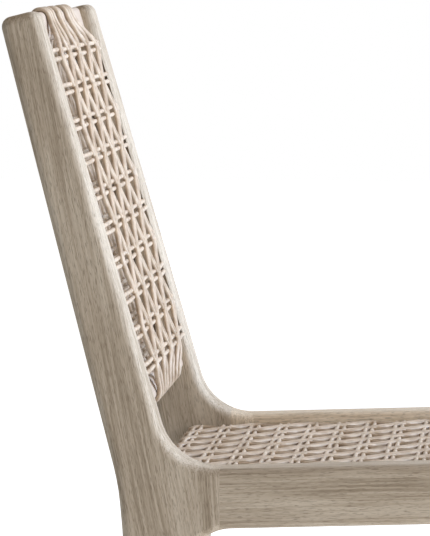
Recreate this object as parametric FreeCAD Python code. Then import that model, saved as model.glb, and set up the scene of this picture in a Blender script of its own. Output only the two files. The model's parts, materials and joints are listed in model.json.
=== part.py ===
import FreeCAD, Part
import math
import os

# Outdoor side chair: two teak side frames joined by four loom bars, with an open cane weave of
# round all-weather strands that runs round the bars in two layers, in the back and in the seat.
# The chair faces -Y, +X is on the right in a view from the front, and the floor is z = 0.

Vector = FreeCAD.Vector

# Overall sizes
overall_width = 500.0
overall_depth = 612.0
overall_height = 877.0
seat_front_height = 451.2

# Side frame timber
member_width = 45.0
round_over = 9.0
seat_slope_deg = 1.9
rail_height = 58.7

# Back stile
rear_lean_deg = 14.22
front_lean_deg = 16.33
stile_top_depth = 37.6
top_cut_deg = 14.0
top_corner_radius = 10.0
inner_knee_radius = 58.0

# Rear leg
rear_bend_below_seat = 29.2
rear_bend_radius = 240.0
mid_lean_deg = 5.71
leg_bend_below_seat = 148.2
leg_sweep_radius = 900.0
rear_kick_deg = 7.03
leg_waist_depth = 52.1
leg_front_bend_below_rail = 109.0
leg_front_radius = 640.0
leg_front_kick_deg = 10.82
under_knee_radius = 48.0

# Front leg
front_leg_depth = 58.0
front_foot_depth = 38.4
front_top_radius = 38.0

# Joints of the side frame, with loose tenons
post_joint_ahead_of_leg = 10.5
knee_block_thickness = 24.7
front_joint_behind_leg = 35.0
tenon_thickness = 12.0
tenon_height = 30.0
tenon_reach = 30.0
mortise_end_clearance = 1.0

# Loom bars
bar_tenon = 15.0
top_bar_depth = 30.0
lower_bar_depth = 26.0
back_bar_thickness = 12.0
seat_bar_depth = 32.0
seat_bar_thickness = 17.0
seat_bar_edge_radius = 5.0
seat_bar_inset = 14.2
seat_bar_behind_knee = 24.4

# Weave
strand_diameter = 4.0
strand_sides = 6
back_weave_recess = 0.5
seat_weave_recess = 10.0
wrap_above_stile = 1.5
back_edge_above_seat = 35.3
back_rows = 10
back_top_row_gap = 40.1
back_bottom_row_gap = 33.0
back_columns = 8
back_pair_spacing = 6.4
seat_rows = 15
seat_end_row_gap = 12.9
seat_columns = 15
seat_pair_spacing = 7.6
back_edge_inset = 45.0
seat_edge_inset = 8.0
groove_depth = 6.0
groove_clearance = 0.4
groove_overrun = 8.0
pair_end_clearance = 1.0

# Foot glides and their screws
glide_diameter = 24.0
glide_height = 5.0
glide_edge = 1.2
glide_recess_diameter = 9.0
glide_recess_depth = 1.4
glide_bore = 4.3
screw_diameter = 4.0
screw_head_diameter = 8.0
screw_head_height = 2.0
screw_in_wood = 20.0

overrun = 5.0
same_place = 0.001

# Worked out sizes
half_width = overall_width / 2
half_depth = overall_depth / 2
inner_half = half_width - member_width
strand_radius = strand_diameter / 2
seat_slope = math.tan(math.radians(seat_slope_deg))


def leaning(lean_deg):
    """The unit vector that points up and leans back by lean_deg."""
    return Vector(0, math.sin(math.radians(lean_deg)), math.cos(math.radians(lean_deg)))


def down_along(start, lean_deg, height):
    """The point at a height on the line through start that leans back by lean_deg."""
    return Vector(0, start.y - (start.z - height) * math.tan(math.radians(lean_deg)), height)


def rail_top(y):
    """Height of the side rail's top line at y."""
    return seat_front_height - (y + half_depth) * seat_slope


def rail_bottom(y):
    """Height of the side rail's underside at y."""
    return rail_top(y) - rail_height / math.cos(math.radians(seat_slope_deg))


def rounding_inset(back, ahead, radius):
    """From a corner to the centre of its rounding, given the directions that leave the corner."""
    half = back.getAngle(ahead) / 2
    return (back + ahead).normalize() * (radius / math.sin(half))


def rounded_wire(corners):
    """A closed wire through (point, radius) corners, each rounded by its radius."""
    count = len(corners)
    spans = []
    for index, (corner, radius) in enumerate(corners):
        back = (corners[index - 1][0] - corner).normalize()
        ahead = (corners[(index + 1) % count][0] - corner).normalize()
        if radius == 0:
            spans.append((corner, None, corner))
            continue
        inset = rounding_inset(back, ahead, radius)
        centre = corner + inset
        middle = centre - inset.normalize() * radius
        reach = radius / math.tan(back.getAngle(ahead) / 2)
        spans.append((corner + back * reach, middle, corner + ahead * reach))
    edges = []
    for index, (start, middle, end) in enumerate(spans):
        if middle is not None:
            edges.append(Part.Arc(start, middle, end).toShape())
        following = spans[(index + 1) % count][0]
        if not following.isEqual(end, same_place):
            edges.append(Part.LineSegment(end, following).toShape())
    return Part.Wire(edges)


def slab(wire, x_from, x_to):
    """The solid between x_from and x_to whose outline is a wire drawn at x = 0."""
    moved = wire.copy()
    moved.translate(Vector(x_from, 0, 0))
    return Part.Face(moved).extrude(Vector(x_to - x_from, 0, 0))


def mirrored(shape):
    """The shape's mirror image on the other side of the chair."""
    return shape.mirror(Vector(), Vector(1, 0, 0))


# Corners of the side frame's outline, seen from the side
rear_up = leaning(rear_lean_deg)
front_up = leaning(front_lean_deg)
along_top = Vector(0, -math.cos(math.radians(top_cut_deg)), math.sin(math.radians(top_cut_deg)))
top_front_height = overall_height - top_corner_radius
top_front_height -= rounding_inset(along_top * -1, front_up * -1, top_corner_radius).z
top_rear_y = half_depth - top_corner_radius - rounding_inset(rear_up * -1, along_top, top_corner_radius).y
top_front = Vector(0, top_rear_y, top_front_height) + Vector(0, along_top.y * stile_top_depth, 0)
top_rear = top_front - along_top * stile_top_depth
rear_bend = down_along(top_rear, rear_lean_deg, seat_front_height - rear_bend_below_seat)
leg_bend = down_along(rear_bend, mid_lean_deg, seat_front_height - leg_bend_below_seat)
rear_foot = down_along(leg_bend, -rear_kick_deg, glide_height)
leg_front_y = leg_bend.y - leg_waist_depth
under_knee = Vector(0, leg_front_y, rail_bottom(leg_front_y))
leg_front_bend = under_knee - Vector(0, 0, leg_front_bend_below_rail)
rear_foot_front = down_along(leg_front_bend, -leg_front_kick_deg, glide_height)
front_lean = math.tan(math.radians(front_lean_deg))
knee_rise = (rail_top(top_front.y) - top_front.z) / (1 + seat_slope * front_lean)
knee = down_along(top_front, front_lean_deg, top_front.z + knee_rise)
front_top = Vector(0, -half_depth, rail_top(-half_depth))
front_foot = Vector(0, -half_depth, glide_height)
front_foot_rear = front_foot + Vector(0, front_foot_depth, 0)
front_leg_rear_y = front_leg_depth - half_depth
under_front = Vector(0, front_leg_rear_y, rail_bottom(front_leg_rear_y))

frame_outline = rounded_wire([
    (rear_foot, 0),
    (leg_bend, leg_sweep_radius),
    (rear_bend, rear_bend_radius),
    (top_rear, top_corner_radius),
    (top_front, top_corner_radius),
    (knee, inner_knee_radius),
    (front_top, front_top_radius),
    (front_foot, 0),
    (front_foot_rear, 0),
    (under_front, under_knee_radius),
    (under_knee, under_knee_radius),
    (leg_front_bend, leg_front_radius),
    (rear_foot_front, 0),
])
blank = slab(frame_outline, inner_half, half_width)

# Every long edge of the frame is rounded over, on the inside and on the outside
long_edges = []
for edge in blank.Edges:
    box = edge.BoundBox
    at_foot = box.ZMax < glide_height + round_over / 2
    if box.XLength < round_over / 2 and not at_foot:
        long_edges.append(edge)
frame_solid = blank.makeFillet(round_over, long_edges)


class Panel:
    """A woven panel: two bars and, on each side of them, a layer of pairs and crossing strands.

    Places in it are x, s along the panel from the first bar to the second, and the level above
    the panel's middle plane. The first bar's outer edge lies at first_edge and the second's at
    last_edge.
    """

    def __init__(self, start, along, outward, thickness, edge_radius, first_edge, last_edge,
                 first_row, last_row, rows, columns, edge_inset, pair_spacing):
        self.start = start
        self.along = along
        self.outward = outward
        self.thickness = thickness
        self.edge_radius = edge_radius
        self.first_edge = first_edge
        self.last_edge = last_edge
        self.first_row = first_row
        self.last_row = last_row
        self.rows = rows
        self.columns = columns
        self.pair_spacing = pair_spacing
        self.pitch = (last_row - first_row) / (rows - 1)
        self.edge_x = inner_half - edge_inset
        self.half_period = 2 * self.edge_x / columns
        self.slope = self.half_period / self.pitch
        self.inner = thickness / 2 + strand_radius
        self.middle = self.inner + strand_diameter
        self.outer = self.middle + strand_diameter
        self.clear = pair_spacing / 2 + strand_diameter

    def place(self, x, s, level):
        """The point at x, s and a level of this panel."""
        return self.start + Vector(x, 0, 0) + self.along * s + self.outward * level

    def row(self, index):
        """Where a row of pairs lies along the panel."""
        return self.first_row + index * self.pitch

    def section(self, s_from, s_to, half_thickness, radius):
        """The outline of a bar or a groove that lies across the panel."""
        return rounded_wire([
            (self.place(0, s_from, half_thickness), radius),
            (self.place(0, s_to, half_thickness), radius),
            (self.place(0, s_to, -half_thickness), radius),
            (self.place(0, s_from, -half_thickness), radius),
        ])

    def bar(self, s_from, s_to, reach):
        """A bar from s_from to s_to that runs on by reach into the frames."""
        outline = self.section(s_from, s_to, self.thickness / 2, self.edge_radius)
        return slab(outline, -inner_half - reach, inner_half + reach)

    def groove(self, side):
        """The groove in a frame's inner face that takes the ends of one layer's pairs."""
        half = strand_radius + groove_clearance
        s_from = self.first_row - groove_overrun
        s_to = self.last_row + groove_overrun
        level = side * self.middle
        outline = rounded_wire([
            (self.place(0, s_from, level + half), 0),
            (self.place(0, s_to, level + half), 0),
            (self.place(0, s_to, level - half), 0),
            (self.place(0, s_from, level - half), 0),
        ])
        return slab(outline, inner_half - overrun, inner_half + groove_depth)

    def pairs(self, side):
        """The straight pairs of one layer, which run from frame to frame."""
        reach = inner_half + groove_depth - pair_end_clearance
        solids = []
        for index in range(self.rows):
            for half in (-self.pair_spacing / 2, self.pair_spacing / 2):
                s = self.row(index) + half
                left = self.place(-reach, s, side * self.middle)
                right = self.place(reach, s, side * self.middle)
                solids.append(strand([left, right], self.outward))
        return solids

    def bend(self, bar_centre, way, side):
        """The places (s, level) where a strand turns over a bar's edge, from the edge inwards."""
        turn = strand_radius + self.edge_radius
        corner = turn * math.tan(math.radians(45) / 2)
        flat = self.thickness / 2 - self.edge_radius
        edge = bar_centre + way * turn
        return [
            (edge, 0),
            (edge, side * (flat + corner)),
            (bar_centre + way * corner, side * self.inner),
        ]

    def end_run(self, column, step, row, way, side, outer):
        """A strand's places from a bar's edge to its first or last row, starting at the edge."""
        centre = self.first_edge + self.edge_radius
        if way > 0:
            centre = self.last_edge - self.edge_radius
        node_x = column * self.half_period - self.edge_x
        bend = self.bend(centre, way, side)
        kink = row + way * self.pitch / 2
        has_kink = way * (centre - kink) > 0
        if outer and not has_kink:
            bend = bend[:2]
        if has_kink:
            bend.append((kink, side * self.inner))
        if outer:
            bend.append((row + way * self.clear, side * self.outer))
        points = []
        for s, level in bend:
            across = min(abs(s - row), self.pitch / 2) * self.slope
            points.append(self.place(node_x + step * across, s, level))
        return points

    def crossing(self, column, side):
        """One strand that zigzags from the first bar to the second, turning at the edges.

        Its nodes' rows and columns add up to an odd number, or to an even one where the panel
        has an even number of columns, so that the strands meet the same way at both edges.
        """
        node = column + (column + self.columns) % 2
        step = 1 if node > column else -1
        outer = step < 0
        points = self.end_run(node, -step, self.first_row, -1, side, outer)
        for index in range(self.rows):
            if node in (0, self.columns):
                sign = 1 if node else -1
                x = sign * (self.edge_x - self.slope * self.clear)
                s = self.row(index)
                level = side * (self.outer if outer else self.inner)
                outer = not outer
                next_level = side * (self.outer if outer else self.inner)
                points.append(self.place(x, s - self.clear, level))
                points.append(self.place(x, s + self.clear, level))
                points.append(self.place(x, s + self.clear, next_level))
                step = -step
            node += step
        node -= step
        tail = self.end_run(node, step, self.last_row, 1, side, outer)
        points.extend(reversed(tail))
        kept = points[:1]
        for point in points[1:]:
            if not point.isEqual(kept[-1], same_place):
                kept.append(point)
        return strand(kept, self.along)

    def crossings(self, side):
        """All the crossing strands of one layer."""
        return [self.crossing(column, side) for column in range(self.columns)]


def strand(points, facing):
    """A strand along points, mitred at each turn, with a flat side towards facing."""
    ahead = (points[1] - points[0]).normalize()
    across = facing.cross(ahead).normalize()
    up = ahead.cross(across)
    ring = []
    for index in range(strand_sides):
        angle = 2 * math.pi * (index + 0.5) / strand_sides + math.pi / 2
        spoke = across * math.cos(angle) + up * math.sin(angle)
        ring.append(points[0] + spoke * strand_radius)
    rings = [ring]
    for index in range(1, len(points)):
        ahead = (points[index] - points[index - 1]).normalize()
        cut = ahead
        if index < len(points) - 1:
            cut = (ahead + (points[index + 1] - points[index]).normalize()).normalize()
        moved = []
        for corner in rings[-1]:
            gap = (points[index] - corner).dot(cut) / ahead.dot(cut)
            moved.append(corner + ahead * gap)
        rings.append(moved)
    faces = [Part.Face(Part.makePolygon(end + end[:1])) for end in (rings[0], rings[-1])]
    for lower, upper in zip(rings, rings[1:]):
        for index in range(strand_sides):
            nxt = (index + 1) % strand_sides
            outline = [lower[index], lower[nxt], upper[nxt], upper[index], lower[index]]
            faces.append(Part.Face(Part.makePolygon(outline)))
    solid = Part.makeSolid(Part.makeShell(faces))
    if solid.Volume < 0:
        solid.reverse()
    return solid


# The back panel starts level with the stile's front top corner and runs down it
back_outward = Vector(0, -front_up.z, front_up.y)
back_peak = back_bar_thickness / 2 + 3 * strand_diameter
back_start = top_front - back_outward * (back_weave_recess + back_peak)
back_wrap = back_bar_thickness / 2 + strand_diameter
top_centre_height = overall_height + wrap_above_stile - back_wrap
back_top_centre = (back_start.z - top_centre_height) / front_up.z
back_low_edge = seat_front_height + back_edge_above_seat
back_low_centre = (back_start.z - back_low_edge - back_bar_thickness / 2) / front_up.z
back = Panel(
    start=back_start,
    along=front_up * -1,
    outward=back_outward,
    thickness=back_bar_thickness,
    edge_radius=back_bar_thickness / 2,
    first_edge=back_top_centre - back_bar_thickness / 2,
    last_edge=back_low_centre + back_bar_thickness / 2,
    first_row=back_top_centre + back_top_row_gap,
    last_row=back_low_centre - back_bottom_row_gap,
    rows=back_rows,
    columns=back_columns,
    edge_inset=back_edge_inset,
    pair_spacing=back_pair_spacing,
)

# The seat panel starts at the front legs and runs back along the side rails
seat_along = leaning(90 + seat_slope_deg)
seat_outward = leaning(seat_slope_deg)
seat_peak = seat_bar_thickness / 2 + 3 * strand_diameter
seat_start = front_top - seat_outward * (seat_weave_recess + seat_peak)
seat_last_edge = (knee.y + seat_bar_behind_knee - seat_start.y) / seat_along.y
seat = Panel(
    start=seat_start,
    along=seat_along,
    outward=seat_outward,
    thickness=seat_bar_thickness,
    edge_radius=seat_bar_edge_radius,
    first_edge=seat_bar_inset,
    last_edge=seat_last_edge,
    first_row=seat_bar_inset + seat_end_row_gap,
    last_row=seat_last_edge - seat_end_row_gap,
    rows=seat_rows,
    columns=seat_columns,
    edge_inset=seat_edge_inset,
    pair_spacing=seat_pair_spacing,
)


def loom_bars(reach):
    """The four bars, each running on by reach into the side frames."""
    return {
        "top_back_bar": back.bar(back.first_edge, back.first_edge + top_bar_depth, reach),
        "lower_back_bar": back.bar(back.last_edge - lower_bar_depth, back.last_edge, reach),
        "front_seat_bar": seat.bar(seat.first_edge, seat.first_edge + seat_bar_depth, reach),
        "rear_seat_bar": seat.bar(seat.last_edge - seat_bar_depth, seat.last_edge, reach),
    }


# Joint planes of the side frame
post_joint_y = leg_front_y - post_joint_ahead_of_leg
block_joint_y = post_joint_y - knee_block_thickness
front_joint_y = front_leg_rear_y + front_joint_behind_leg


def loose_tenon(y_front, y_rear, extra):
    """A loose tenon along the side rail, with full round edges and extra length at each end."""
    centre_x = inner_half + member_width / 2
    length = (y_rear - y_front) / math.cos(math.radians(seat_slope_deg)) + 2 * extra
    centre_z = rail_top(y_front) - rail_height / 2
    base = Vector(centre_x, y_front, centre_z) - seat_along * extra
    half_flat = (tenon_height - tenon_thickness) / 2
    radius = tenon_thickness / 2
    side = Vector(radius, 0, 0)
    rise = seat_outward * half_flat
    cap = seat_outward * (half_flat + radius)
    outline = Part.Wire([
        Part.LineSegment(base - side - rise, base - side + rise).toShape(),
        Part.Arc(base - side + rise, base + cap, base + side + rise).toShape(),
        Part.LineSegment(base + side + rise, base + side - rise).toShape(),
        Part.Arc(base + side - rise, base - cap, base - side - rise).toShape(),
    ])
    return Part.Face(outline).extrude(seat_along * length)


def rear_tenon(extra):
    """The loose tenon that goes from the rail through the knee block into the post."""
    return loose_tenon(block_joint_y - tenon_reach, post_joint_y + tenon_reach, extra)


def front_tenon(extra):
    """The loose tenon between the rail and the front leg."""
    return loose_tenon(front_joint_y - tenon_reach, front_joint_y + tenon_reach, extra)


# Mortises and grooves are cut in the frame before it is parted into its pieces
for mortise in loom_bars(bar_tenon + mortise_end_clearance).values():
    frame_solid = frame_solid.cut(mortise)
for panel in (back, seat):
    for layer in (1, -1):
        frame_solid = frame_solid.cut(panel.groove(layer))
frame_solid = frame_solid.cut(rear_tenon(mortise_end_clearance))
frame_solid = frame_solid.cut(front_tenon(mortise_end_clearance))

# Foot centres on the floor
foot_x = inner_half + member_width / 2
foot_centres = []
for foot_edge, far_edge in ((rear_foot_front, rear_foot), (front_foot, front_foot_rear)):
    foot_centres.append(Vector(foot_x, (foot_edge.y + far_edge.y) / 2, 0))


def glide(centre):
    """A round foot glide with a rounded rim and a countersunk hole."""
    disc = Part.makeCylinder(glide_diameter / 2, glide_height, centre)
    rims = [edge for edge in disc.Edges if edge.BoundBox.ZMax < glide_height / 2]
    disc = disc.makeChamfer(glide_edge, rims)
    disc = disc.cut(Part.makeCylinder(glide_recess_diameter / 2, glide_recess_depth, centre))
    seat_base = centre + Vector(0, 0, glide_recess_depth)
    cone = Part.makeCone(screw_head_diameter / 2, screw_diameter / 2, screw_head_height, seat_base)
    disc = disc.cut(cone)
    return disc.cut(Part.makeCylinder(glide_bore / 2, glide_height, seat_base))


def glide_screw(centre):
    """A countersunk screw that goes up through a glide into the foot."""
    base = centre + Vector(0, 0, glide_recess_depth)
    head = Part.makeCone(screw_head_diameter / 2, screw_diameter / 2, screw_head_height, base)
    length = glide_height + screw_in_wood - glide_recess_depth
    return head.fuse(Part.makeCylinder(screw_diameter / 2, length, base)).removeSplitter()


for centre in foot_centres:
    frame_solid = frame_solid.cut(glide_screw(centre))


def between(y_from, y_to):
    """The part of the side frame between two joint planes."""
    box = Part.makeBox(
        member_width + 2 * overrun,
        y_to - y_from,
        overall_height + 2 * overrun,
        Vector(inner_half - overrun, y_from, -overrun),
    )
    return frame_solid.common(box).Solids[0]


right_pieces = {
    "rear_post": between(post_joint_y, half_depth + overrun),
    "knee_block": between(block_joint_y, post_joint_y),
    "side_rail": between(front_joint_y, block_joint_y),
    "front_leg": between(-half_depth - overrun, front_joint_y),
    "rear_tenon": rear_tenon(0),
    "front_tenon": front_tenon(0),
}

nodes = {}
for name, piece in right_pieces.items():
    nodes[name + "_right"] = [piece]
    nodes[name + "_left"] = [mirrored(piece)]
for name, bar in loom_bars(bar_tenon).items():
    nodes[name] = [bar]
nodes["back_front_pairs"] = back.pairs(1)
nodes["back_rear_pairs"] = back.pairs(-1)
nodes["back_front_strands"] = back.crossings(1)
nodes["back_rear_strands"] = back.crossings(-1)
nodes["seat_upper_pairs"] = seat.pairs(1)
nodes["seat_lower_pairs"] = seat.pairs(-1)
nodes["seat_upper_strands"] = seat.crossings(1)
nodes["seat_lower_strands"] = seat.crossings(-1)
nodes["foot_glides"] = []
nodes["glide_screws"] = []
for centre in foot_centres:
    nodes["foot_glides"] += [glide(centre), mirrored(glide(centre))]
    nodes["glide_screws"] += [glide_screw(centre), mirrored(glide_screw(centre))]

os.makedirs("parts", exist_ok=True)
for name, solids in nodes.items():
    shape = solids[0] if len(solids) == 1 else Part.makeCompound(solids)
    shape.exportStep("parts/" + name + ".step")
    print(name, len(solids), "valid" if shape.isValid() else "NOT VALID", round(shape.Volume))
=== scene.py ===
"""Outdoor side chair: weathered teak side frames, with an open cane weave in back and seat."""

import json
import logging
import math
import random
from dataclasses import dataclass, field, replace
from enum import Enum
from typing import Any

import bpy
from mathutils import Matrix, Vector

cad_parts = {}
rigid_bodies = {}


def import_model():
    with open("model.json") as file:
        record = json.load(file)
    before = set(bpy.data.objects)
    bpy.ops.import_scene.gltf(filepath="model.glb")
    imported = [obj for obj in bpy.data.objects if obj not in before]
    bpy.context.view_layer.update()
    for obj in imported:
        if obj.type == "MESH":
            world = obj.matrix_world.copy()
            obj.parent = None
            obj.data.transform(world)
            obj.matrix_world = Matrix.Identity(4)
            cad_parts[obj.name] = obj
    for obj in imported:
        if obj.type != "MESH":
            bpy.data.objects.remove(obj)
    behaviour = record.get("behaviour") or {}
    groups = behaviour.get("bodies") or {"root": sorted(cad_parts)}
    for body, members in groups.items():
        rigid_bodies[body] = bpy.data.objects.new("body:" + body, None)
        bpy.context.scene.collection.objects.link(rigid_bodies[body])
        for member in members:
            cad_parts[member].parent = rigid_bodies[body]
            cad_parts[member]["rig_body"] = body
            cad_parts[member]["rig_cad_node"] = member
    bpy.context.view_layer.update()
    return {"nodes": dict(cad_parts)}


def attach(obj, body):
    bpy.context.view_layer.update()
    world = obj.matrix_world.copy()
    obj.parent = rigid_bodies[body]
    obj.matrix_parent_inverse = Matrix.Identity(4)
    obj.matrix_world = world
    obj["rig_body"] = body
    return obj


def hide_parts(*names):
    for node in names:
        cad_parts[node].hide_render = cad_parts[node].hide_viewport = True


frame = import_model()

logging.basicConfig(level=logging.INFO, format="%(name)s: %(message)s")
log = logging.getLogger("side_chair")

Triple = tuple[float, float, float]

MM = 0.001
BODY = "root"
MERGE_MM = 0.01
WHITE = "FFFFFF"

# A pattern's shift goes this far along x, y and z, so that no two boards share their streaks
SHIFT_SHARES = (1.0, 1.7, 2.9)


class Slot(Enum):
    """The record's material slots for the pieces that replace CAD nodes."""

    TEAK = "teak"
    BAR = "loom_bar"
    STRAND = "strand"
    GLIDE = "glide"
    SCREW = "screw"


class Side(Enum):
    """The two faces of a woven panel, with the way that each looks."""

    FRONT = 1
    REAR = -1


def linear(hex_colour: str) -> tuple[float, float, float, float]:
    """Turn an sRGB hex colour into a linear one, by the sRGB curve's own constants.

    Args:
        hex_colour: six hex digits, such as "C8BEAC".

    Returns:
        Linear red, green and blue, and an alpha of 1.
    """
    values = []
    for start in (0, 2, 4):
        value = int(hex_colour[start:start + 2], 16) / 255
        values.append(value / 12.92 if value <= 0.04045 else ((value + 0.055) / 1.055) ** 2.4)
    return (values[0], values[1], values[2], 1.0)


def gentle(share: float) -> float:
    """A share, held between 0 and 1, that starts and ends gently."""
    held = min(max(share, 0.0), 1.0)
    return held * held * (3 - 2 * held)


def add_node(tree: bpy.types.NodeTree, kind: str, links: dict[Any, Any] | None = None,
             stops: list[tuple[float, str]] | None = None, **settings: Any) -> bpy.types.Node:
    """Add one shader node with its settings and links.

    Args:
        tree: the node tree that it goes into.
        kind: the node's type name.
        links: input name or number to an output socket or a plain value.
        stops: a colour ramp's stops, as place and hex colour.
        **settings: attributes of the node.

    Returns:
        The new node.
    """
    node = tree.nodes.new(kind)
    for name, value in settings.items():
        setattr(node, name, value)
    for key, value in (links or {}).items():
        if isinstance(value, bpy.types.NodeSocket):
            tree.links.new(value, node.inputs[key])
        else:
            node.inputs[key].default_value = value
    if stops:
        ramp = node.color_ramp
        while len(ramp.elements) < len(stops):
            ramp.elements.new(0.5)
        for element, (place, colour) in zip(ramp.elements, stops):
            element.position = place
            element.color = linear(colour)
    return node


def new_material(name: str) -> tuple[bpy.types.Material, bpy.types.NodeTree]:
    """Make a material with an empty node tree.

    Args:
        name: the material's name.

    Returns:
        The material and its tree.
    """
    material = bpy.data.materials.new(name)
    material.use_nodes = True
    material.node_tree.nodes.clear()
    return material, material.node_tree


# Teak that is sanded, silvered outdoors and grey washed shows straight grain in soft grey-brown
# bands, with short dark pores. Its dry, raised fibres make it matt, with a faint warm sheen where
# it is seen at a slant.
@dataclass(frozen=True)
class WeatheredTeak:
    """Sanded, silvered and grey-washed teak.

    Real pores are some 0.3 mm wide, too fine to show, so they are drawn coarser.
    """

    name: str
    grain_lean_deg: float
    shift_mm: float
    light: str = "CDC1AE"
    middle: str = "B9AB97"
    dark: str = "9B8D79"
    pore: str = "7A6C5A"
    sheen_tint: str = "F2E0C6"
    figure_width_mm: float = 2.2
    figure_length_mm: float = 90.0
    figure_shift_mm: float = 31.0
    pore_width_mm: float = 0.7
    pore_length_mm: float = 9.0
    pore_shift_mm: float = 67.0
    board_width_mm: float = 22.0
    board_length_mm: float = 260.0
    relief_mm: float = 0.4

    def grain(self, tree: bpy.types.NodeTree, width_mm: float, length_mm: float, shift_mm: float,
              detail: float) -> bpy.types.NodeSocket:
        """Noise drawn out along the grain.

        Args:
            tree: the material's node tree.
            width_mm: size of a streak across the grain.
            length_mm: size of a streak along it.
            shift_mm: moves the pattern to another part of the board.
            detail: how many finer levels are added.

        Returns:
            The noise value.
        """
        coordinates = add_node(tree, "ShaderNodeTexCoord")
        mapping = add_node(
            tree, "ShaderNodeMapping", {
                "Vector": coordinates.outputs["Object"],
                "Location": tuple(shift_mm * share * MM for share in SHIFT_SHARES),
                "Rotation": (math.radians(-self.grain_lean_deg), 0.0, 0.0),
                "Scale": (width_mm * MM, width_mm * MM, length_mm * MM),
            }, vector_type="TEXTURE")
        noise = add_node(tree, "ShaderNodeTexNoise", {
            "Vector": mapping.outputs["Vector"], "Scale": 1.0, "Detail": detail,
            "Roughness": 0.55, "Distortion": 0.25,
        })
        return noise.outputs["Fac"]

    def build(self) -> bpy.types.Material:
        """Make the material."""
        material, tree = new_material(self.name)
        board = self.grain(tree, self.board_width_mm, self.board_length_mm, self.shift_mm, 2.0)
        figure = self.grain(tree, self.figure_width_mm, self.figure_length_mm,
                            self.shift_mm + self.figure_shift_mm, 3.0)
        pores = self.grain(tree, self.pore_width_mm, self.pore_length_mm,
                           self.shift_mm + self.pore_shift_mm, 1.0)
        blend = add_node(tree, "ShaderNodeMath", {0: board, 1: figure}, operation="ADD")
        halved = add_node(tree, "ShaderNodeMath", {0: blend.outputs[0], 1: 0.5},
                          operation="MULTIPLY")
        tone = add_node(tree, "ShaderNodeValToRGB", {"Fac": halved.outputs[0]},
                        stops=[(0.36, self.dark), (0.48, self.middle), (0.60, self.light)])
        is_pore = add_node(tree, "ShaderNodeMapRange", {
            "Value": pores, "From Min": 0.36, "From Max": 0.44, "To Min": 0.55, "To Max": 0.0,
        })
        colour = add_node(tree, "ShaderNodeMix", {
            0: is_pore.outputs["Result"], 6: tone.outputs["Color"], 7: linear(self.pore),
        }, data_type="RGBA")
        height = add_node(tree, "ShaderNodeMath", {0: figure, 1: pores}, operation="ADD")
        bump = add_node(tree, "ShaderNodeBump", {
            "Height": height.outputs[0], "Strength": 0.35, "Distance": self.relief_mm * MM,
        })
        roughness = add_node(tree, "ShaderNodeMapRange", {
            "Value": figure, "From Min": 0.3, "From Max": 0.7, "To Min": 0.86, "To Max": 0.70,
        })
        shader = add_node(tree, "ShaderNodeBsdfPrincipled", {
            "Base Color": colour.outputs[2], "Roughness": roughness.outputs["Result"],
            "Normal": bump.outputs["Normal"], "IOR": 1.5,
            "Specular IOR Level": 0.25,
            "Sheen Weight": 0.2, "Sheen Roughness": 0.4, "Sheen Tint": linear(self.sheen_tint),
        })
        add_node(tree, "ShaderNodeOutputMaterial", {"Surface": shader.outputs["BSDF"]})
        return material


# Extruded polyethylene is satin and slightly waxy: light sinks in a little way and softens the
# shading, and the dye gives a faintly mottled tone.
@dataclass(frozen=True)
class AllWeatherStrand:
    """Extruded polyethylene strand in ivory.

    The real fleck of the extruded skin is too fine to show, so it is drawn coarser.
    """

    name: str
    light: str = "C7B59F"
    dark: str = "AE9A83"
    mottle_mm: float = 14.0
    fleck_mm: float = 1.6
    relief_mm: float = 0.2
    sink_mm: float = 2.5

    def build(self) -> bpy.types.Material:
        """Make the material."""
        material, tree = new_material(self.name)
        coordinates = add_node(tree, "ShaderNodeTexCoord")
        mottle = add_node(tree, "ShaderNodeTexNoise", {
            "Vector": coordinates.outputs["Object"], "Scale": 1 / (self.mottle_mm * MM),
            "Detail": 2.0,
        })
        fleck = add_node(tree, "ShaderNodeTexNoise", {
            "Vector": coordinates.outputs["Object"], "Scale": 1 / (self.fleck_mm * MM),
            "Detail": 1.0,
        })
        tone = add_node(tree, "ShaderNodeValToRGB", {"Fac": mottle.outputs["Fac"]},
                        stops=[(0.38, self.dark), (0.58, self.light)])
        bump = add_node(tree, "ShaderNodeBump", {
            "Height": fleck.outputs["Fac"], "Strength": 0.15, "Distance": self.relief_mm * MM,
        })
        shader = add_node(tree, "ShaderNodeBsdfPrincipled", {
            "Base Color": tone.outputs["Color"], "Roughness": 0.48, "IOR": 1.51,
            "Normal": bump.outputs["Normal"], "Subsurface Weight": 0.2,
            "Subsurface Radius": (1.0, 0.8, 0.6), "Subsurface Scale": self.sink_mm * MM,
        })
        add_node(tree, "ShaderNodeOutputMaterial", {"Surface": shader.outputs["BSDF"]})
        return material


@dataclass(frozen=True)
class PlainFinish:
    """A finish of small and half hidden pieces, with a fine grit of its own."""

    name: str
    light: str
    dark: str
    roughness: float
    metallic: float
    grit_mm: float
    relief_mm: float = 0.1

    def build(self) -> bpy.types.Material:
        """Make the material."""
        material, tree = new_material(self.name)
        coordinates = add_node(tree, "ShaderNodeTexCoord")
        grit = add_node(tree, "ShaderNodeTexNoise", {
            "Vector": coordinates.outputs["Object"], "Scale": 1 / (self.grit_mm * MM),
            "Detail": 3.0,
        })
        tone = add_node(tree, "ShaderNodeValToRGB", {"Fac": grit.outputs["Fac"]},
                        stops=[(0.35, self.dark), (0.65, self.light)])
        bump = add_node(tree, "ShaderNodeBump", {
            "Height": grit.outputs["Fac"], "Strength": 0.2, "Distance": self.relief_mm * MM,
        })
        shader = add_node(tree, "ShaderNodeBsdfPrincipled", {
            "Base Color": tone.outputs["Color"], "Roughness": self.roughness,
            "Metallic": self.metallic, "Normal": bump.outputs["Normal"],
        })
        add_node(tree, "ShaderNodeOutputMaterial", {"Surface": shader.outputs["BSDF"]})
        return material


# Powder coat over aluminium: an even satin skin with a fine orange peel
POWDER_COAT = PlainFinish("ivory_powder_coat", "C6B5A4", "B9A896", 0.55, 0.0, 0.6)
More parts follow.
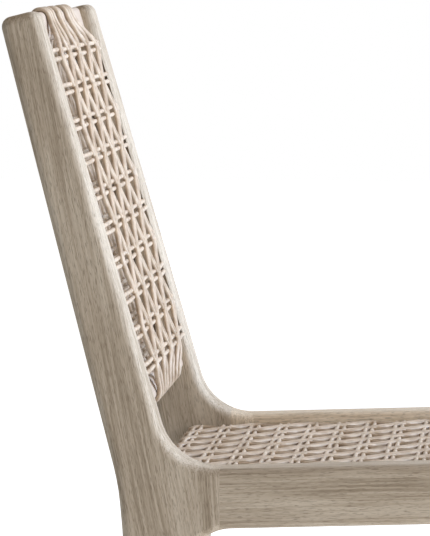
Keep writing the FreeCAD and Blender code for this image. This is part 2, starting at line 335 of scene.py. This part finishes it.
# Moulded nylon: nearly black and dull, from the mould's fine texture, which is drawn coarser
MOULDED_PLASTIC = PlainFinish("moulded_nylon_glide", "3B3835", "2E2B29", 0.55, 0.0, 0.5)
# Brushed stainless steel: a grey metal with soft highlights; its scratches are drawn as a coarser
# grit, since the heads are too small to show their direction
STAINLESS = PlainFinish("brushed_stainless_screw", "B9B9BC", "9FA0A3", 0.35, 1.0, 0.4)
# Planed hardwood: pale brown, dry and smooth; the tenons are hidden in their joints
PLANED_HARDWOOD = PlainFinish("planed_hardwood_tenon", "B08E66", "94744F", 0.7, 0.0, 2.0)


def deselect() -> None:
    """Leave object mode's selection empty."""
    if bpy.context.object and bpy.context.object.mode != "OBJECT":
        bpy.ops.object.mode_set(mode="OBJECT")
    bpy.ops.object.select_all(action="DESELECT")


def activate(piece: bpy.types.Object) -> None:
    """Select one piece alone and make it active."""
    deselect()
    piece.select_set(True)
    bpy.context.view_layer.objects.active = piece


def dress(piece: bpy.types.Object, material: bpy.types.Material) -> None:
    """Give a piece one material."""
    piece.data.materials.clear()
    piece.data.materials.append(material)


def hand_over(piece: bpy.types.Object, node: str) -> None:
    """Make a finished piece ride on the chair in place of its CAD node.

    Args:
        piece: the finished piece.
        node: the CAD node that it stands for.
    """
    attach(piece, BODY)
    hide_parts(node)
    log.info("%s: %d faces, for %s", piece.name, len(piece.data.polygons), node)


def smooth_copy(node: str, name: str, angle_deg: float = 40.0) -> bpy.types.Object:
    """Copy a CAD node with its facets merged and its rounded faces shaded smooth.

    Args:
        node: the CAD node.
        name: the new piece's name.
        angle_deg: edges sharper than this stay sharp.

    Returns:
        The new piece.
    """
    activate(frame["nodes"][node])
    bpy.ops.object.duplicate()
    piece = bpy.context.object
    piece.name = name
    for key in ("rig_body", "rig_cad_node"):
        if key in piece:
            del piece[key]
    piece.parent = None
    activate(piece)
    # The stored normals go first, since merging would smear them over the sharp edges
    bpy.ops.mesh.customdata_custom_splitnormals_clear()
    bpy.ops.object.mode_set(mode="EDIT")
    bpy.ops.mesh.select_all(action="SELECT")
    bpy.ops.mesh.remove_doubles(threshold=MERGE_MM * MM)
    bpy.ops.object.mode_set(mode="OBJECT")
    bpy.ops.object.shade_smooth_by_angle(angle=math.radians(angle_deg))
    bpy.ops.object.modifier_add(type="WEIGHTED_NORMAL")
    piece.modifiers[-1].keep_sharp = True
    bpy.ops.object.modifier_apply(modifier=piece.modifiers[-1].name)
    return piece


@dataclass(frozen=True)
class Board:
    """One board of a side frame: its CAD name, its grain's lean back and its pattern's shift."""

    name: str
    grain_lean_deg: float
    shift_mm: float


@dataclass
class SideFrame:
    """One teak side frame: rear post, knee block, side rail and front leg."""

    side: str
    shift_mm: float
    # The pale boards' lighter tones are partly the wood's own tone and partly painted light,
    # standing for light that the seat bounces onto the far frame's inner faces
    pale_boards: tuple[str, ...] = ()
    pale_light: str = "EADCC6"
    pale_middle: str = "DBCAB1"
    pale_dark: str = "BEAD94"
    boards: tuple[Board, ...] = (
        Board("rear_post", 11.0, 0.0),
        Board("knee_block", 4.0, 262.0),
        Board("side_rail", 91.9, 430.0),
        Board("front_leg", 1.0, 640.0),
    )
    tenons: tuple[str, ...] = ("rear_tenon", "front_tenon")
    # The rear leg's waist: its height range, the part in front of this y, and how far that goes
    # back, easing out over this reach
    waist_mm: tuple[float, float] = (200.0, 318.0)
    waist_front_mm: float = 152.0
    waist_shift_mm: float = 13.0
    waist_reach_mm: float = 56.0

    def slim_leg(self, post: bpy.types.Object) -> None:
        """Draw the rear leg's front edge back below the knee, easing out above and behind.

        Args:
            post: the rear post.
        """
        activate(post)
        low, high = self.waist_mm
        bpy.ops.object.mode_set(mode="EDIT")
        bpy.ops.mesh.select_all(action="DESELECT")
        bpy.ops.object.mode_set(mode="OBJECT")
        for vertex in post.data.vertices:
            place = vertex.co / MM
            vertex.select = low < place.z < high and place.y < self.waist_front_mm
        bpy.ops.object.mode_set(mode="EDIT")
        bpy.ops.mesh.select_mode(type="VERT")
        bpy.ops.transform.translate(
            value=(0.0, self.waist_shift_mm * MM, 0.0), use_proportional_edit=True,
            proportional_edit_falloff="SMOOTH", proportional_size=self.waist_reach_mm * MM)
        bpy.ops.object.mode_set(mode="OBJECT")

    def finish(self, board: Board) -> WeatheredTeak:
        """One board's finish.

        Args:
            board: the board.

        Returns:
            Its teak, in paler tones where the board is one of the pale ones.
        """
        teak = WeatheredTeak(f"weathered_teak_{board.name}_{self.side}", board.grain_lean_deg,
                             self.shift_mm + board.shift_mm)
        # Paler tones: partly the board's own tone and partly painted light bounced from the seat
        if board.name in self.pale_boards:
            teak = replace(teak, light=self.pale_light, middle=self.pale_middle,
                           dark=self.pale_dark)
        return teak

    def build(self) -> None:
        """Copy and dress the four boards of the frame, and dress its hidden tenons."""
        for board in self.boards:
            node = f"{board.name}_{self.side}"
            piece = smooth_copy(node, f"teak_{node}")
            if board.name == "rear_post":
                self.slim_leg(piece)
            dress(piece, self.finish(board).build())
            hand_over(piece, node)
        for tenon in self.tenons:
            dress(frame["nodes"][f"{tenon}_{self.side}"], PLANED_HARDWOOD.build())


@dataclass(frozen=True)
class Ripple:
    """The slight unevenness of hand weaving: how far a strand strays, and over what length."""

    height: float
    length: float

    def at(self, place: float, phase: float) -> float:
        """How far the strand strays at a place along it."""
        return self.height * math.sin(place / self.length + phase)


@dataclass
class WovenPanel:
    """A panel woven round two bars, all in millimetres from its own start point."""

    name: str
    # Its own axes, from a start on its middle plane: the way along it and the way out of its face
    start: Triple
    along: Triple
    outward: Triple
    # The bars' section, and where bars and rows are along the panel, as in the CAD
    thickness: float
    edge_radius: float
    first_edge: float
    last_edge: float
    first_row: float
    last_row: float
    rows: int
    columns: int
    edge_inset: float
    pair_spacing: float
    # The weave's level in the frames' grooves, its rise from them and its hollow in the middle
    groove_level: float
    rise: float
    sag: float
    crossing_nodes: tuple[str, str]
    pair_nodes: tuple[str, str]
    bars: tuple[str, str]
    # How far each column's wraps are shifted along the first bar and along the last one
    wrap_shifts: tuple[float, ...] = ()
    lower_shifts: tuple[float, ...] = ()
    inner_half: float = 205.0
    # The strands are thicker than the CAD's and doubled, to look as full as the real weave. At a
    # crossing each stands off its layer's level by only weave_step, and the pairs lie lower by
    # pair_drop, so the weave looks pulled flat, and strands sink into each other there.
    strand_diameter: float = 4.8
    twin_gap: float = 7.4
    weave_step: float = 0.4
    pair_drop: float = 0.0
    turn_ease: float = 4.0
    groove_reach: float = 4.0
    # The run over which the weave comes down to a bar, counted in row pitches
    drop_share: float = 1.15
    sway_ripples: tuple[Ripple, Ripple] = (Ripple(1.3, 23.0), Ripple(1.3, 61.0))
    level_ripple: Ripple = Ripple(0.25, 17.0)
    pair_sway_ripple: Ripple = Ripple(0.4, 37.0)
    pair_level_ripple: Ripple = Ripple(0.3, 29.0)
    steps_per_row: int = 10
    steps_per_column: int = 4
    wrap_steps: int = 6
    bevel_steps: int = 2
    smooth_angle_deg: float = 60.0
    seed: int = 7
    dice: random.Random = field(init=False)
    pitch: float = field(init=False)
    edge_x: float = field(init=False)
    half_period: float = field(init=False)
    on_bar: float = field(init=False)

    def __post_init__(self) -> None:
        """Work out the lattice from the sizes."""
        self.dice = random.Random(self.seed)
        self.pitch = (self.last_row - self.first_row) / (self.rows - 1)
        self.edge_x = self.inner_half - self.edge_inset
        self.half_period = 2 * self.edge_x / self.columns
        self.on_bar = (self.thickness + self.strand_diameter) / 2

    def place(self, x: float, s: float, level: float) -> Vector:
        """The point in metres at x, s along the panel and a level above its middle plane."""
        point = Vector(self.start) + Vector((x, 0.0, 0.0))
        point += Vector(self.along) * s + Vector(self.outward) * level
        return point * MM

    def from_frame(self, x: float) -> float:
        """How far x is from a frame's inner face to the lattice's edge column, from 0 to 1."""
        return gentle((self.inner_half - abs(x)) / self.edge_inset)

    def level_at(self, x: float) -> float:
        """The weave's level at x: up from the frames' grooves, with a slight hollow between."""
        hollow = max(1 - (x / self.edge_x) ** 2, 0.0)
        return self.groove_level + self.rise * self.from_frame(x) - self.sag * hollow

    def lane(self, column: int, columns: int, t: float) -> tuple[float, int]:
        """Where a crossing strand is in a lattice.

        It keeps to its lane from half a row before the first row to half a row past the last.

        Args:
            column: the gap between columns that it starts from.
            columns: how many such gaps the lattice has.
            t: rows counted from the first row.

        Returns:
            Its place, counted in columns from the left frame, and its way, 1 or -1.
        """
        node = column + (column + columns) % 2
        way = 1 if node > column else -1
        place = (node + way * min(max(t, -0.5), self.rows - 0.5)) % (2 * columns)
        return (2 * columns - place, -way) if place > columns else (place, way)

    def bar_place(self, index: int, last: bool) -> float:
        """The x where a strand turns over a bar; two neighbours lie side by side there."""
        column = index // 2
        x = (column + 0.5) * self.half_period - self.edge_x
        x += (index % 2 - 0.5) * self.strand_diameter
        shifts = self.lower_shifts if last else self.wrap_shifts
        return x + shifts[column] if shifts else x

    def crossing(self, index: int, side: Side, sway: tuple[float, float]) -> list[Vector]:
        """One layer's stretch of a crossing strand, from the first bar to the second.

        The front strands run in twos, side by side, and the rear ones spread out evenly.

        Args:
            index: the strand's number along the first bar.
            side: the layer.
            sway: phases of the strand's slight unevenness.

        Returns:
            The places that it goes through.
        """
        spread = side is Side.REAR
        columns = self.columns * (2 if spread else 1)
        column = index if spread else index // 2
        half_period = 2 * self.edge_x / columns
        slope = half_period / self.pitch
        twin = 0.0 if spread else (index % 2 - 0.5) * self.twin_gap * math.hypot(1.0, slope)
        end = int(self.lane(column, columns, self.rows)[0])
        end_index = end if spread else 2 * end + index % 2
        low = self.first_edge + self.edge_radius
        high = self.last_edge - self.edge_radius
        count = round((high - low) / self.pitch * self.steps_per_row)
        points = []
        for step in range(count + 1):
            s = low + (high - low) * step / count
            before, after = self.first_row - s, s - self.last_row
            # Across: on its lane with rounded turns and a little sway, then over to the bars
            lane, way = self.lane(column, columns, (s - self.first_row) / self.pitch)
            x = lane * half_period - self.edge_x
            to_edge = self.edge_x - abs(x)
            stand = -way * min(to_edge / half_period, 1.0)
            x -= math.copysign(math.hypot(to_edge, self.turn_ease * slope) - to_edge, x)
            x += twin + sum(ripple.at(s, phase) for ripple, phase in zip(self.sway_ripples, sway))
            x += (self.bar_place(index, False) - x) * gentle(before / (self.first_row - low))
            x += (self.bar_place(end_index, True) - x) * gentle(after / (high - self.last_row))
            # Up: over one way's strands and under the other's, then down to the bars
            level = self.level_at(x) + stand * self.weave_step + self.level_ripple.at(s, sway[1])
            outside = max(before, after) / (self.drop_share * self.pitch)
            level += (self.on_bar - level) * gentle(outside)
            points.append(self.place(x, s, side.value * level))
        return points

    def wrap(self, x: float, side: Side, last: bool) -> list[Vector]:
        """A crossing strand's turn over a bar's outer edge, as far as the bar's middle plane.

        Args:
            x: where the strand lies across the panel.
            side: the layer.
            last: whether this is the second bar.

        Returns:
            The places that it goes through, from the bar's face to its edge.
        """
        way = 1 if last else -1
        edge = self.last_edge if last else self.first_edge
        radius = self.edge_radius + self.strand_diameter / 2
        flat = self.thickness / 2 - self.edge_radius
        points = []
        for step in range(1, self.wrap_steps + 1):
            angle = math.pi / 2 * step / self.wrap_steps
            s = edge - way * self.edge_radius + way * radius * math.sin(angle)
            points.append(self.place(x, s, side.value * (flat + radius * math.cos(angle))))
        if flat > 0:
            points.append(self.place(x, edge + way * self.strand_diameter / 2, 0.0))
        return points

    def crossings(self, side: Side) -> list[list[Vector]]:
        """One layer's crossing strands, each from the middle of one bar's edge to the other's."""
        sway = (0.0, 0.0)
        strands = []
        for index in range(2 * self.columns):
            # The two strands of a front twin share their sway, so that they stay side by side
            if side is Side.REAR or index % 2 == 0:
                sway = (self.dice.uniform(0, math.tau), self.dice.uniform(0, math.tau))
            face = self.crossing(index, side, sway)
            top = self.wrap(face[0].x / MM, side, False)
            low = self.wrap(face[-1].x / MM, side, True)
            strands.append(top[::-1] + face + low)
        return strands

    def pairs(self, side: Side) -> list[list[Vector]]:
        """The nearly straight pairs of one layer, from frame to frame."""
        reach = self.inner_half + self.groove_reach
        count = self.columns * self.steps_per_column
        strands = []
        for row in range(self.rows):
            for half in (-0.5, 0.5):
                s = self.first_row + row * self.pitch + half * self.pair_spacing
                phase = self.dice.uniform(0, math.tau)
                points = []
                for step in range(count + 1):
                    x = -reach + 2 * reach * step / count
                    level = self.level_at(x) - self.pair_drop * self.from_frame(x)
                    level += self.pair_level_ripple.at(x, -phase)
                    wave = self.pair_sway_ripple.at(x, phase)
                    points.append(self.place(x, s + wave, side.value * level))
                strands.append(points)
        return strands

    def weave(self, name: str, strands: list[list[Vector]], material: bpy.types.Material,
              node: str) -> None:
        """Turn strands into one round, smooth piece.

        Args:
            name: the piece's name.
            strands: the places that each strand's middle line goes through.
            material: their finish.
            node: the CAD node that it stands for.
        """
        deselect()
        curve = bpy.data.curves.new(name, "CURVE")
        curve.dimensions = "3D"
        curve.bevel_depth = self.strand_diameter / 2 * MM
        curve.bevel_resolution = self.bevel_steps
        curve.use_fill_caps = True
        for strand in strands:
            spline = curve.splines.new("POLY")
            spline.points.add(len(strand) - 1)
            for point, where in zip(spline.points, strand):
                point.co = (*where, 1.0)
            spline.use_smooth = True
        piece = bpy.data.objects.new(name, curve)
        bpy.context.scene.collection.objects.link(piece)
        activate(piece)
        bpy.ops.object.convert(target="MESH")
        piece = bpy.context.object
        bpy.ops.object.shade_smooth_by_angle(angle=math.radians(self.smooth_angle_deg))
        dress(piece, material)
        hand_over(piece, node)

    def build(self) -> None:
        """Weave both layers and dress the bars."""
        finish = AllWeatherStrand(f"ivory_polyethylene_{self.name}_strand").build()
        for side, crossing_node, pair_node in zip(Side, self.crossing_nodes, self.pair_nodes):
            face = f"{self.name}_{side.name.lower()}"
            self.weave(f"{face}_crossing_cane", self.crossings(side), finish, crossing_node)
            self.weave(f"{face}_paired_cane", self.pairs(side), finish, pair_node)
        for bar in self.bars:
            piece = smooth_copy(bar, f"coated_{bar}")
            dress(piece, POWDER_COAT.build())
            hand_over(piece, bar)


@dataclass
class Feet:
    """The glides and their screws."""

    pieces: tuple[tuple[str, PlainFinish, Slot], ...] = (
        ("foot_glides", MOULDED_PLASTIC, Slot.GLIDE),
        ("glide_screws", STAINLESS, Slot.SCREW),
    )

    def build(self) -> None:
        """Copy and dress the glides and the screws."""
        for node, finish, slot in self.pieces:
            piece = smooth_copy(node, f"{finish.name}s")
            dress(piece, finish.build())
            hand_over(piece, node)


@dataclass(frozen=True)
class SoftLamp:
    """One soft square lamp: its place and side in metres, its power and its sRGB tint."""

    name: str
    place: Triple
    size: float
    watts: float
    tint: str

    def hang(self, aim: Triple) -> None:
        """Hang the lamp.

        Args:
            aim: the point that it faces, in metres.
        """
        data = bpy.data.lights.new(self.name, "AREA")
        data.shape = "SQUARE"
        data.size = self.size
        data.energy = self.watts
        data.color = linear(self.tint)[:3]
        lamp = bpy.data.objects.new(self.name, data)
        lamp.location = self.place
        towards = Vector(aim) - Vector(self.place)
        lamp.rotation_euler = towards.to_track_quat("-Z", "Y").to_euler()
        bpy.context.scene.collection.objects.link(lamp)


@dataclass
class Studio:
    """A pale floor, soft light and the camera."""

    camera_place_mm: Triple = (-4096.15, -214.4, 941.0)
    camera_turn_deg: float = 4.6707
    camera_dip_deg: float = 4.5728
    lens_mm: float = 271.24
    sensor_mm: float = 36.0
    clip_end_m: float = 100.0
    floor_size_mm: float = 24000.0
    floor_paint: str = "E6E4E1"
    # The floor's own glow to the camera rises between these distances, and to all else is even
    glow_from_m: float = 0.9
    glow_to_m: float = 2.1
    glow_near: float = 0.45
    bounce: float = 0.42
    air: float = 0.11
    aim_m: Triple = (0.0, 0.0, 0.45)
    lamps: tuple[SoftLamp, ...] = (
        SoftLamp("front_window", (0.5, -3.4, 1.6), 2.2, 236.0, "D0E3FF"),
        SoftLamp("left_window", (-2.2, -2.8, 0.9), 2.0, 50.0, "FFF6EE"),
        SoftLamp("overhead_panel", (0.0, -0.4, 3.6), 2.4, 22.0, "FFE0BE"),
    )

    def floor(self) -> None:
        """Lay the floor, white far off, shaded under the chair and lighting it from below."""
        deselect()
        bpy.ops.mesh.primitive_plane_add(size=self.floor_size_mm * MM)
        floor = bpy.context.object
        floor.name = "studio_floor"
        material, tree = new_material("studio_floor_paint")
        path = add_node(tree, "ShaderNodeLightPath")
        paint = add_node(tree, "ShaderNodeBsdfDiffuse", {"Color": linear(self.floor_paint)})
        coordinates = add_node(tree, "ShaderNodeTexCoord")
        away = add_node(tree, "ShaderNodeVectorMath", {0: coordinates.outputs["Object"]},
                        operation="LENGTH")
        strength = add_node(tree, "ShaderNodeMapRange", {
            "Value": away.outputs["Value"],
            "From Min": self.glow_from_m, "From Max": self.glow_to_m,
            "To Min": self.glow_near, "To Max": 1.0,
        })
        glow = add_node(tree, "ShaderNodeEmission", {
            "Color": linear(WHITE), "Strength": strength.outputs["Result"],
        })
        bounce = add_node(tree, "ShaderNodeEmission", {
            "Color": linear(WHITE), "Strength": self.bounce,
        })
        added = add_node(tree, "ShaderNodeMixShader", {
            0: path.outputs["Is Camera Ray"], 1: bounce.outputs[0], 2: glow.outputs[0],
        })
        seen = add_node(tree, "ShaderNodeAddShader", {0: paint.outputs[0], 1: added.outputs[0]})
        add_node(tree, "ShaderNodeOutputMaterial", {"Surface": seen.outputs[0]})
        floor.data.materials.append(material)

    def world(self) -> None:
        """Fill the room with a plain pale light, white to the camera and in reflections."""
        world = bpy.data.worlds.new("studio_air")
        bpy.context.scene.world = world
        world.use_nodes = True
        tree = world.node_tree
        tree.nodes.clear()
        path = add_node(tree, "ShaderNodeLightPath")
        seen = add_node(tree, "ShaderNodeMath", {
            0: path.outputs["Is Camera Ray"], 1: path.outputs["Is Glossy Ray"],
        }, operation="MAXIMUM")
        clear = add_node(tree, "ShaderNodeMath", {
            0: seen.outputs[0], 1: path.outputs["Is Transmission Ray"],
        }, operation="MAXIMUM")
        strength = add_node(tree, "ShaderNodeMapRange", {
            "Value": clear.outputs[0], "To Min": self.air, "To Max": 1.0,
        })
        light = add_node(tree, "ShaderNodeBackground", {
            "Color": linear(WHITE), "Strength": strength.outputs["Result"],
        })
        add_node(tree, "ShaderNodeOutputWorld", {"Surface": light.outputs[0]})

    def camera(self) -> None:
        """Set up the camera at the photograph's viewing angle."""
        data = bpy.data.cameras.new("studio_camera")
        data.lens = self.lens_mm
        data.sensor_width = self.sensor_mm
        data.clip_end = self.clip_end_m
        camera = bpy.data.objects.new("studio_camera", data)
        camera.location = Vector(self.camera_place_mm) * MM
        turn = math.radians(self.camera_turn_deg)
        dip = math.radians(self.camera_dip_deg)
        ahead = Vector((math.cos(dip) * math.cos(turn), math.cos(dip) * math.sin(turn),
                        -math.sin(dip)))
        camera.rotation_euler = ahead.to_track_quat("-Z", "Y").to_euler()
        bpy.context.scene.collection.objects.link(camera)
        bpy.context.scene.camera = camera

    def build(self) -> None:
        """Set up the floor, the lamps, the air and the camera."""
        self.floor()
        for lamp in self.lamps:
            lamp.hang(self.aim_m)
        self.world()
        self.camera()
        bpy.context.scene.view_settings.view_transform = "Standard"


def back_panel() -> WovenPanel:
    """The back's panel, whose wraps are gathered towards the middle of the bars."""
    return WovenPanel(
        name="back",
        start=(0.0, 289.430, 873.824),
        along=(0.0, -0.281169, -0.959658),
        outward=(0.0, -0.959658, 0.281169),
        thickness=12.0,
        edge_radius=6.0,
        first_edge=-0.452,
        last_edge=403.354,
        first_row=45.648,
        last_row=364.354,
        rows=10,
        columns=8,
        edge_inset=45.0,
        pair_spacing=8.0,
        groove_level=14.0,
        rise=4.3,
        sag=1.5,
        pair_drop=2.2,
        crossing_nodes=("back_front_strands", "back_rear_strands"),
        pair_nodes=("back_front_pairs", "back_rear_pairs"),
        bars=("top_back_bar", "lower_back_bar"),
        wrap_shifts=(52, 30, 10, 15, -10, 5, -18, -33),
        lower_shifts=(54, 36, 22, 8, -2, -8, -10, -12),
    )


def seat_panel() -> WovenPanel:
    """The seat's panel, which is flatter and has its wraps spread evenly along the bars."""
    return WovenPanel(
        name="seat",
        start=(0.0, -307.011, 420.717),
        along=(0.0, 0.99945, -0.033155),
        outward=(0.0, 0.033155, 0.99945),
        thickness=17.0,
        edge_radius=5.0,
        first_edge=14.2,
        last_edge=473.646,
        first_row=27.1,
        last_row=460.746,
        rows=15,
        columns=15,
        edge_inset=8.0,
        pair_spacing=7.6,
        groove_level=14.5,
        rise=5.5,
        sag=0.0,
        pair_drop=0.4,
        crossing_nodes=("seat_upper_strands", "seat_lower_strands"),
        pair_nodes=("seat_upper_pairs", "seat_lower_pairs"),
        bars=("front_seat_bar", "rear_seat_bar"),
        seed=11,
    )


def main() -> None:
    """Build the chair and its studio."""
    SideFrame("left", 0.0).build()
    # The right frame's knee block and side rail are painted paler, partly as their own tone and
    # partly as painted light bounced onto their inner faces from the seat
    SideFrame("right", 900.0, pale_boards=("knee_block", "side_rail")).build()
    back_panel().build()
    seat_panel().build()
    Feet().build()
    Studio().build()


if __name__ == "__main__":
    main()
